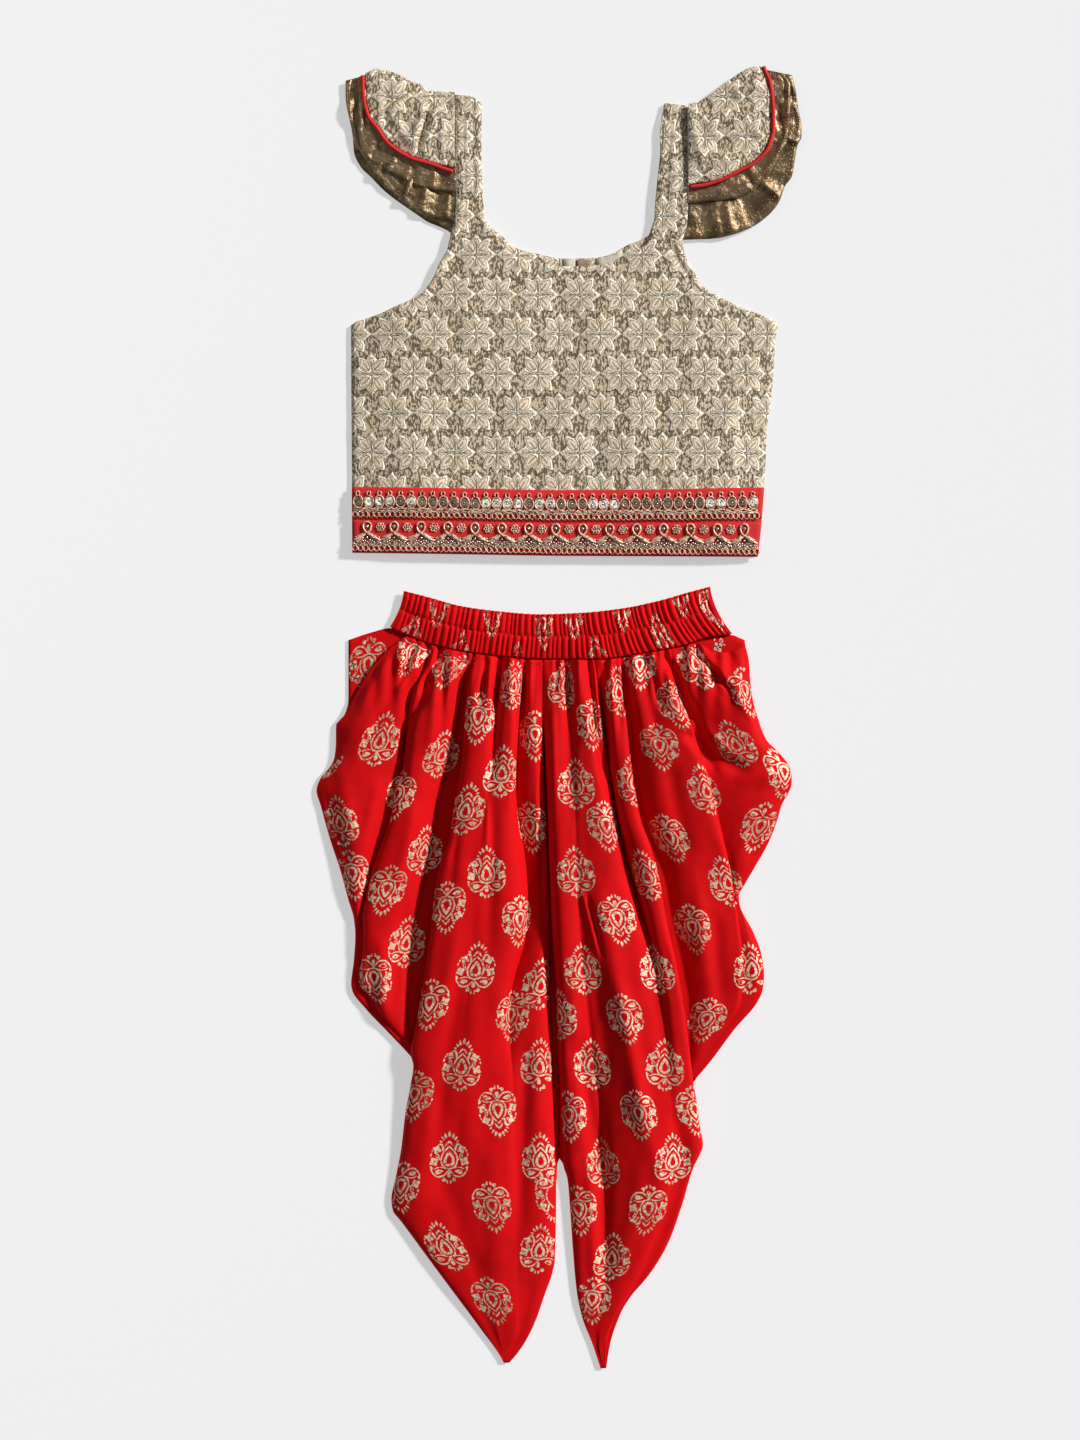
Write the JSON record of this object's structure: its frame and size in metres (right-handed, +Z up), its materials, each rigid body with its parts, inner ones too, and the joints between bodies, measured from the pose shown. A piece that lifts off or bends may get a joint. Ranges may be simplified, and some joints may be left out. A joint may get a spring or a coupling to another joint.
{
  "type": "dhoti pants set",
  "caption": "Child's brocade crop top with tiered flutter sleeves and gathered, draped dhoti pants, laid flat as a set.",
  "frame": {"origin": "centre of the laid set's bounding box, on the surface that it lies on", "axes": "+X to the wearer's left as the set is seen from above, +Y from the trouser legs to the neck, +Z up from the surface, out of the garments' fronts"},
  "size_m": [0.35, 0.9393, 0.015],
  "materials": {
    "printed_red_cloth": "soft red crepe with a gold foil print",
    "gold_brocade": "woven brocade, cream flowers on a bronze ground",
    "bronze_tissue": "crinkled metallic tissue",
    "red_cloth": "plain red cloth",
    "embroidered_trim": "gold cord embroidery with sequins on red",
    "brown_facing": "plain brown cloth"
  },
  "bodies": {
    "root": {"top_front": "gold_brocade", "top_back_left": "gold_brocade", "top_back_right": "gold_brocade", "back_placket": "brown_facing", "hem_band_front": "red_cloth", "hem_band_back": "red_cloth", "trim_upper": "embroidered_trim", "trim_lower": "embroidered_trim", "left_sleeve_cap": "gold_brocade", "left_sleeve_piping": "red_cloth", "left_ruffle_inner": "bronze_tissue", "left_ruffle_outer": "bronze_tissue", "left_sleeve_under": "bronze_tissue", "right_sleeve_cap": "gold_brocade", "right_sleeve_piping": "red_cloth", "right_ruffle_inner": "bronze_tissue", "right_ruffle_outer": "bronze_tissue", "right_sleeve_under": "bronze_tissue", "waistband_front": "printed_red_cloth", "waistband_back": "printed_red_cloth", "left_leg_front": "printed_red_cloth", "right_leg_front": "printed_red_cloth", "left_side_drape": "printed_red_cloth", "right_side_drape": "printed_red_cloth", "left_leg_back": "printed_red_cloth", "right_leg_back": "printed_red_cloth"}
  },
  "joints": []
}
